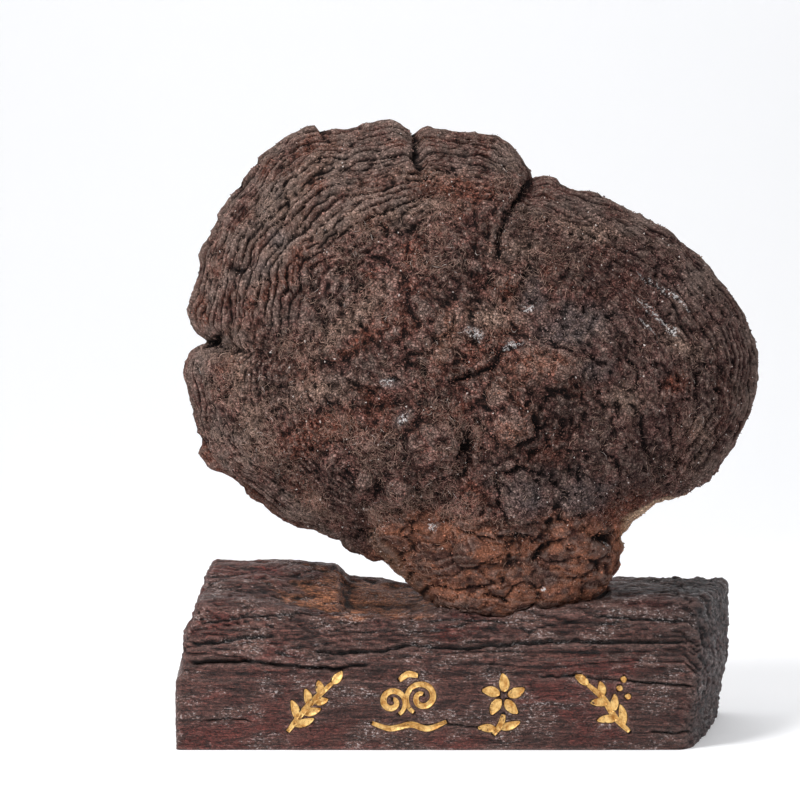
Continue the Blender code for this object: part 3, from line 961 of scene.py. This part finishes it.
def blossom():
    strokes = [leaf((3 * math.cos(a), 5 + 3 * math.sin(a)), math.degrees(a) - 4, 12.5, 7.4)
               for a in np.radians(np.arange(5) * 72 + 90)]
    strokes.append(stem(((0, -8), (-2, -15), (-7, -22))))
    strokes.append(leaf((-3, -17), 8, 15))
    strokes.append(leaf((-5, -19), 166, 13))
    return strokes


def twig():
    strokes = branch(((20, -20), (10, -10), (2, 3), (-9, 13)), 5, 15)
    strokes += [leaf(at, 60, 4, 4.6) for at in ((12, 9), (18, 3), (15, 15))]
    return strokes


def carved_strokes():
    """All strokes of the four ornaments: points (x, z) in metres and widths in metres."""
    drawings = {"sprig": sprig, "cloud": cloud, "blossom": blossom, "twig": twig}
    return [((path + (at_x, at_z)) * MM, widths * MM)
            for at_x, at_z, kind in ORNAMENTS for path, widths in drawings[kind]()]


def groove_mask(points, strokes):
    """1 in the carved grooves, 0 outside them."""
    near = np.full(len(points), np.inf)
    x, front = points[:, 0], points[:, 1] < 0
    for path, widths in strokes:
        left, right = path[:, 0].min() - 0.01, path[:, 0].max() + 0.01
        chosen = np.flatnonzero(front & (x > left) & (x < right))
        away = np.linalg.norm(points[chosen][:, None, (0, 2)] - path[None], axis=2) / (widths / 2)
        near[chosen] = np.minimum(near[chosen], away.min(axis=1))
    return ramp(1, 0.72, near)


def gilt_mesh(strokes, tree):
    """A closed trough of gilding along every stroke, its edges just proud of the wood."""
    across = np.array([-1, -0.72, -0.4, 0, 0.4, 0.72, 1, 0.6, 0, -0.6])  # seven in front, then three behind
    dish = GILT_DEPTH * (1 - across**2) + np.where(np.arange(10) < 7, -0.30, 1)
    points, triangles = [], []
    for path, widths in strokes:
        way = np.gradient(path, axis=0)
        way /= np.linalg.norm(way, axis=1, keepdims=True)
        side = np.stack([-way[:, 1], way[:, 0]], axis=1)
        start = len(points)
        for centre, out, width in zip(path, side, widths):
            shallow = min(1, width / (STROKE * MM))
            for share, depth in zip(across, dish):
                x, z = centre + out * share * width / 2
                hit = tree.ray_cast(Vector((x, -0.2, z)), Vector((0, 1, 0)), 0.3)
                points.append((x, hit[0].y + (depth if depth < 0 else depth * shallow) * MM, z))
        count = len(across)
        for ring in range(len(path) - 1):
            for k in range(count):
                a, b = start + ring * count + k, start + ring * count + (k + 1) % count
                triangles += [(a, b, b + count), (a, b + count, a + count)]
        last = start + (len(path) - 1) * count
        for k in range(1, count - 1):
            triangles += [(start, start + k + 1, start + k), (last, last + k, last + k + 1)]
    made = mesh_of_triangles("gilding", np.array(points), np.array(triangles))
    made.shade_smooth()
    return made


# ==== materials
def srgb(red, green, blue):
    """Linear RGBA of an 8-bit screen colour."""
    def linear(value):
        share = value / 255
        return share / 12.92 if share <= 0.04045 else ((share + 0.055) / 1.055) ** 2.4
    return (linear(red), linear(green), linear(blue), 1)


class Shader:
    """A material's nodes, added and joined one at a time."""

    def __init__(self, name, roughness, specular):
        self.material = bpy.data.materials.new(name)
        self.material.use_nodes = True
        self.tree = self.material.node_tree
        self.surface = self.tree.nodes["Principled BSDF"]
        self.surface.inputs["Roughness"].default_value = roughness
        self.surface.inputs["Specular IOR Level"].default_value = specular
        self.place = self.add("ShaderNodeTexCoord").outputs["Object"]

    def add(self, kind, inputs=None, **settings):
        node = self.tree.nodes.new(kind)
        for name, value in settings.items():
            setattr(node, name, value)
        for name, value in (inputs or {}).items():
            self.put(node.inputs[name], value)
        return node

    def put(self, socket, value):
        if isinstance(value, bpy.types.NodeSocket):
            self.tree.links.new(value, socket)
        else:
            socket.default_value = value

    def mask(self, name):
        return self.add("ShaderNodeAttribute", attribute_name=name).outputs["Fac"]

    def moved(self, stretch=(1, 1, 1), seed=0, place=None):
        inputs = {"Vector": place or self.place, "Scale": stretch, "Location": (seed, seed, seed)}
        return self.add("ShaderNodeMapping", inputs).outputs[0]

    def noise(self, scale, detail=3, roughness=0.6, stretch=(1, 1, 1), seed=0, place=None):
        inputs = {"Scale": scale, "Detail": detail, "Roughness": roughness}
        inputs["Vector"] = self.moved(stretch, seed, place)
        return self.add("ShaderNodeTexNoise", inputs).outputs["Fac"]

    def warped(self, scale, amount):
        """Object coordinates pushed about by noise, by up to that many metres."""
        push = self.add("ShaderNodeTexNoise", {"Vector": self.place, "Scale": scale, "Detail": 2})
        halves = {0: push.outputs["Color"], 1: (0.5, 0.5, 0.5)}
        centred = self.add("ShaderNodeVectorMath", halves, operation="SUBTRACT")
        moved = {0: centred.outputs[0], 1: (2 * amount,) * 3, 2: self.place}
        return self.add("ShaderNodeVectorMath", moved, operation="MULTIPLY_ADD").outputs[0]

    def grains(self, scale, place):
        """Grains of a crumbly surface: height, from 0 in the gaps, and a random tone for each grain."""
        cell = self.add("ShaderNodeTexVoronoi", {"Vector": place, "Scale": scale})
        gap = self.add("ShaderNodeTexVoronoi", {"Vector": place, "Scale": scale}, feature="DISTANCE_TO_EDGE")
        tone = self.add("ShaderNodeSeparateColor", {"Color": cell.outputs["Color"]}).outputs[0]
        return self.steps(gap.outputs["Distance"], 0, 0.22), tone

    def threads(self, scale, width, seed, place=None):
        """Thin wandering lines: 1 on a line, 0 away from it."""
        field = self.noise(scale, 2, 0.5, seed=seed, place=place)
        return self.steps(self.maths("ABSOLUTE", self.maths("SUBTRACT", field, 0.5)), 0, width, 1, 0)

    def steps(self, value, low, high, to_low=0, to_high=1):
        """value from low to high, mapped to to_low and to_high, and held beyond them."""
        inputs = {"Value": value, "From Min": low, "From Max": high, "To Min": to_low, "To Max": to_high}
        return self.add("ShaderNodeMapRange", inputs).outputs["Result"]

    def maths(self, operation, a, b=0):
        return self.add("ShaderNodeMath", {0: a, 1: b}, operation=operation).outputs[0]

    def times(self, a, b):
        return self.maths("MULTIPLY", a, b)

    def mix(self, share, a, b, blend="MIX"):
        inputs = {0: share, 6: a, 7: b}
        return self.add("ShaderNodeMix", inputs, data_type="RGBA", blend_type=blend).outputs[2]

    def over(self, colour, mask, share, tint):
        """The colour with a screen tint laid over it: by that share where the mask is 1."""
        return self.mix(self.times(mask, share), colour, srgb(*tint))

    def shade(self, colour, factor):
        """The colour made darker or brighter by a factor."""
        grey = self.add("ShaderNodeCombineColor", {name: factor for name in ("Red", "Green", "Blue")})
        return self.mix(1, colour, grey.outputs[0], "MULTIPLY")

    def bump(self, height, distance, strength=1, under=None):
        inputs = {"Height": height, "Distance": distance, "Strength": strength}
        if under is not None:
            inputs["Normal"] = under
        return self.add("ShaderNodeBump", inputs).outputs["Normal"]

    def finish(self, inputs):
        """Joins these inputs of the surface and gives the material back."""
        for name, value in inputs.items():
            self.put(self.surface.inputs[name], value)
        return self.material


def crust_colour(s):
    """Browns of the old crust, with dust, rust, ash and earth where the masks put them."""
    broad = s.noise(24, 5, 0.6)
    middle = s.noise(95, 5, 0.65, seed=3.1)
    fine = s.noise(420, 4, 0.7, seed=5.7)
    colour = s.mix(s.steps(middle, 0.40, 0.60), srgb(52, 28, 24), srgb(120, 83, 76))
    reddish = s.mix(s.steps(fine, 0.4, 0.6), srgb(82, 40, 31), srgb(132, 76, 59))
    colour = s.mix(s.times(s.steps(broad, 0.50, 0.60), 0.5), colour, reddish)
    colour = s.over(colour, s.mask("right"), 0.5, (62, 46, 47))
    dusty = s.times(s.mask("dust"), s.steps(middle, 0.34, 0.54))
    colour = s.over(colour, dusty, 0.75, (160, 134, 119))
    grey = s.times(s.mask("zoned"), s.steps(s.noise(33, 4, 0.6, seed=14.5), 0.44, 0.58))
    colour = s.over(colour, grey, 0.6, (134, 118, 110))
    colour = s.over(colour, s.steps(s.mask("ash"), 0.1, 0.8), 0.6, (104, 96, 96))
    colour = s.mix(s.times(s.steps(s.mask("rust"), 0.15, 0.8), 0.75), colour, reddish)
    colour = s.over(colour, s.mask("flesh"), 0.5, (158, 110, 90))
    earth = s.mix(s.steps(middle, 0.38, 0.56), srgb(80, 46, 38), srgb(174, 113, 86))
    stained = s.steps(s.noise(42, 4, 0.65, stretch=(0.6, 0.6, 1.3), seed=9.4), 0.47, 0.58)
    earth = s.over(earth, stained, 0.85, (80, 56, 51))
    colour = s.mix(s.times(s.mask("foot"), 0.9), colour, earth)
    colour = s.over(colour, s.mask("bark"), 0.7, (150, 112, 90))
    colour = s.over(colour, s.steps(s.mask("gloom"), 0.1, 0.7), 0.6, (44, 29, 29))
    pale = s.mix(s.steps(broad, 0.40, 0.62), srgb(208, 182, 156), srgb(160, 120, 92))
    pale = s.over(pale, s.steps(middle, 0.52, 0.64), 0.55, (128, 90, 66))
    hole = s.add("ShaderNodeTexVoronoi", {"Vector": s.place, "Scale": 560}).outputs["Distance"]
    pale = s.mix(s.steps(hole, 0.16, 0.34, 0.75, 0), pale, srgb(70, 46, 34))
    return s.mix(s.mask("pores"), colour, pale)


def crust_material():
    s = Shader("crust", 0.88, 0.12)
    place = s.warped(260, 0.0011)
    height, tone = s.grains(450, place)
    small_height, small_tone = s.grains(850, place)
    thread = s.maths("MAXIMUM", s.threads(230, 0.020, 4.4, place), s.threads(300, 0.018, 8.8, place))
    thread = s.times(thread, s.steps(s.noise(60, 3, 0.6, seed=6.6), 0.42, 0.62))
    colour = s.mix(s.times(thread, 0.5), crust_colour(s), srgb(162, 132, 112))
    proud = s.mask("proud")
    # Painted highlight: points that stand proud are lightened; in part this also stands for pale dust on
    # ridge tops.
    colour = s.over(colour, s.steps(proud, 0.52, 0.95), 0.5, (160, 136, 126))
    # Painted shade: low-lying points are darkened nearly to black, less so on the pore side.
    hollow = s.times(s.steps(proud, 0.10, 0.48, 0.92, 0), s.steps(s.mask("pores"), 0, 1, 1, 0.45))
    colour = s.mix(hollow, colour, srgb(18, 11, 11))
    speckle = s.maths("ADD", s.steps(tone, 0, 1, 0.40, 1.60), s.steps(small_tone, 0, 1, -0.40, 0.70))
    # The gaps between grains come out darker: painted shade between grains, over a random tone for each
    # grain.
    speckle = s.times(speckle, s.steps(height, 0, 1, 0.28, 1))
    calm = s.maths("ADD", s.times(s.mask("pores"), 0.8), s.times(s.mask("foot"), 0.6))
    calm = s.maths("ADD", calm, s.times(s.mask("zoned"), 0.4))
    calm = s.maths("MINIMUM", s.maths("ADD", calm, s.times(s.mask("right"), 0.2)), 1)
    colour = s.shade(colour, s.maths("ADD", s.times(s.maths("SUBTRACT", 0.9, speckle), calm), speckle))
    # Painted shade in the valleys between growth rolls.
    colour = s.over(colour, s.mask("valley"), 0.85, (18, 11, 11))
    # Painted shade in crevices, holes and the moats beneath the knobs.
    colour = s.over(colour, s.mask("cut"), 0.85, (14, 10, 11))
    chalky = s.times(s.mask("chalk"), s.steps(s.noise(520, 4, 0.7, seed=2.2), 0.46, 0.56))
    colour = s.over(colour, s.steps(chalky, 0.25, 0.6), 0.9, (232, 226, 224))
    surface = s.bump(s.maths("ADD", s.times(height, 0.7), s.times(tone, 0.6)), 0.0012, 0.9)
    felted = s.maths("ADD", s.noise(420, 4, 0.7, seed=5.7), s.times(thread, 0.5))
    surface = s.bump(felted, 0.0016, 0.8, surface)
    return s.finish({"Base Color": colour, "Normal": s.bump(small_height, 0.0004, 0.7, surface)})


def scatter_material(name, pale_share, dimmest, brightest):
    """Threads or crumbs: the crust's own colours, each piece paler and brighter or dimmer by its tone."""
    s = Shader(name, 0.85, 0.15)
    tone = s.mask("tone")
    colour = s.mix(pale_share, crust_colour(s), srgb(182, 152, 136))
    colour = s.shade(colour, s.steps(tone, 0, 1, dimmest, brightest))
    # Painted glints: the rarest tones turn near white.
    colour = s.mix(s.steps(tone, 0.984, 0.988, 0, 0.8), colour, srgb(214, 204, 198))
    return s.finish({"Base Color": colour})


def ring_lines(s):
    """Growth rings of the timber round an axis below it, as dark lines: 1 on a line."""
    apart = s.add("ShaderNodeSeparateXYZ", {"Vector": s.warped(30, 0.006)})
    deep = s.maths("SUBTRACT", apart.outputs[1], RING_Y)
    high = s.maths("SUBTRACT", apart.outputs[2], RING_Z)
    away = s.maths("SQRT", s.maths("ADD", s.times(deep, deep), s.times(high, high)))
    wave = s.maths("SINE", s.times(away, 2 * math.pi / RING_SPACING))
    return s.steps(wave, 0.2, 0.9)


def wood_material():
    s = Shader("old_timber", 0.5, 0.38)
    proud = s.mask("proud")
    streak = s.noise(400, 5, 0.75, stretch=(0.10, 0.7, 1), seed=1.7)
    fine = s.noise(1100, 4, 0.75, stretch=(0.30, 0.8, 1), seed=4.1)
    cloudy = s.noise(26, 4, 0.6, stretch=(0.5, 1, 1), seed=2.9)
    patchy = s.noise(60, 4, 0.65, stretch=(0.6, 1, 1), seed=7.9)
    colour = s.mix(s.steps(streak, 0.40, 0.60), srgb(56, 32, 29), srgb(122, 78, 69))
    colour = s.over(colour, s.steps(cloudy, 0.50, 0.62), 0.6, (128, 50, 42))
    colour = s.over(colour, s.steps(patchy, 0.48, 0.62), 0.62, (136, 104, 93))
    colour = s.over(colour, s.mask("low"), 0.30, (84, 52, 46))
    colour = s.over(colour, s.mask("end"), 0.6, (60, 54, 60))
    # The charred rim, and painted shade towards the right end.
    colour = s.over(colour, s.mask("char_and_end_shade"), 0.75, (36, 30, 30))
    colour = s.mix(s.times(s.mask("sawn"), s.times(ring_lines(s), 0.7)), colour, srgb(30, 18, 17))
    bare = s.mix(s.steps(streak, 0.38, 0.60), srgb(120, 64, 42), srgb(212, 140, 98))
    colour = s.mix(s.mask("raw"), colour, bare)
    colour = s.over(colour, s.steps(fine, 0.52, 0.36), 0.7, (20, 11, 11))
    split = s.maths("MAXIMUM", s.threads(170, 0.022, 6.2, s.moved((0.10, 0.8, 1), 2.4)),
                    s.threads(420, 0.030, 1.2, s.moved((0.14, 0.8, 1), 7.4)))
    colour = s.over(colour, split, 0.75, (14, 8, 8))
    # Painted highlight on raised points of the wood.
    colour = s.over(colour, s.steps(proud, 0.54, 0.98), 0.35, (140, 112, 104))
    # Painted shade: low-lying points of the wood are darkened nearly to black.
    colour = s.mix(s.steps(proud, 0.05, 0.47, 0.95, 0), colour, srgb(14, 8, 8))
    # Painted shade in the cracks and carved grooves.
    colour = s.over(colour, s.mask("cut"), 0.9, (12, 8, 8))
    fleck, tone = s.grains(1100, s.moved((0.8, 1, 1), 3.3))
    glint = s.times(s.steps(tone, 0.70, 0.80), s.steps(patchy, 0.50, 0.60))
    glint = s.times(glint, s.steps(fine, 0.48, 0.56))
    colour = s.shade(colour, s.times(s.steps(tone, 0, 1, 0.65, 1.95), s.steps(fleck, 0, 1, 0.55, 1.10)))
    colour = s.over(colour, glint, 0.8, (214, 204, 202))
    surface = s.bump(s.maths("SUBTRACT", streak, s.times(split, 0.6)), 0.0022, 1)
    surface = s.bump(s.maths("ADD", fleck, tone), 0.0004, 0.8, surface)
    surface = s.bump(fine, 0.0009, 1, surface)
    roughness = s.steps(patchy, 0.35, 0.65, 0.62, 0.30)
    return s.finish({"Base Color": colour, "Roughness": roughness, "Normal": surface})


def gilt_material():
    s = Shader("gilding", 0.42, 0.5)
    mottle = s.noise(260, 4, 0.65, seed=1.1)
    fine = s.noise(1100, 3, 0.6, seed=5.1)
    colour = s.mix(s.steps(mottle, 0.35, 0.62), srgb(176, 122, 56), srgb(240, 200, 128))
    worn = s.steps(s.noise(420, 4, 0.7, seed=8.1), 0.60, 0.66)
    colour = s.mix(worn, colour, srgb(70, 40, 26))
    surface = s.bump(s.maths("ADD", mottle, s.times(fine, 0.3)), 0.0008, 0.8)
    return s.finish({"Base Color": colour, "Metallic": s.steps(worn, 0, 1, 0.55, 0), "Normal": surface})


def backdrop_material():
    s = Shader("backdrop", 0.8, 0.2)
    tone = s.mix(s.noise(2, 2), (0.86, 0.865, 0.875, 1), (0.88, 0.883, 0.89, 1))
    glow = {"Emission Color": (0.975, 0.98, 1, 1), "Emission Strength": BACKDROP_GLOW}
    return s.finish({"Base Color": tone, **glow})


# ==== studio
def build_backdrop():
    """A floor that curves up into a wall behind the object."""
    bend = [(1.4 + 1.2 * math.sin(a), 1.2 - 1.2 * math.cos(a)) for a in np.radians(np.arange(0, 91, 6))]
    profile = [(-8, 0), (0, 0), *bend, (2.6, 4)]
    bm = bmesh.new()
    rows = [[bm.verts.new((x, y, z)) for x in (-8, 8)] for y, z in profile]
    for low, high in zip(rows, rows[1:]):
        bm.faces.new((low[0], low[1], high[1], high[0]))
    mesh = bpy.data.meshes.new("backdrop")
    bm.to_mesh(mesh)
    bm.free()
    mesh.shade_smooth()
    mesh.materials.append(backdrop_material())
    backdrop = add_object("backdrop", mesh)


def aim(item, place, target):
    item.location = place
    item.rotation_euler = (Vector(target) - Vector(place)).to_track_quat("-Z", "Y").to_euler()


def add_light(name, place, size, power):
    light = bpy.data.lights.new(name, "AREA")
    light.shape = "RECTANGLE"
    light.size, light.size_y = size
    light.energy = power
    aim(add_object(name, light), place, LAMPS_AIM)


def build_studio():
    build_backdrop()
    for name, place, size, power in LIGHTS:
        add_light(name, place, size, power)
    world = bpy.data.worlds.new("studio")
    world.use_nodes = True
    sky = world.node_tree.nodes["Background"]
    sky.inputs["Color"].default_value = (0.97, 0.975, 1, 1)
    sky.inputs["Strength"].default_value = SKY
    bpy.context.scene.world = world
    bpy.context.scene.view_settings.view_transform = "Standard"
    camera = bpy.data.cameras.new("camera")
    camera.lens = CAMERA_LENS
    eye = add_object("camera", camera)
    aim(eye, CAMERA_PLACE, CAMERA_AIM)
    bpy.context.scene.camera = eye


# ==== everything
def main():
    low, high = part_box("timber_stand")
    offset = np.array([low.x - TIMBER_LEFT, high.y - TIMBER_BACK, 0])
    crust_mesh, crust = build_fungus()
    put_points(crust_mesh, points_of(crust_mesh) + offset)
    tree = tree_of(crust_mesh)
    wood_mesh, carved = build_timber(tree, offset, carved_strokes())
    fibres, crumbs = build_fibres(crust_mesh, crust, tree), build_crumbs(crust_mesh, crust)
    fungus = add_piece("fungus", crust_mesh, crust_material())
    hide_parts("bracket_fungus")
    thread = scatter_material("thread", 0.5, 0.10, 1.85)
    grit = scatter_material("crumb", 0.06, 0.30, 2)
    add_piece("fungus_fibres", fibres, thread)
    add_piece("fungus_crumbs", crumbs, grit)
    timber = add_piece("timber", wood_mesh, wood_material())
    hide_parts("timber_stand")
    add_piece("gilded_ornaments", carved, gilt_material())
    build_studio()


main()
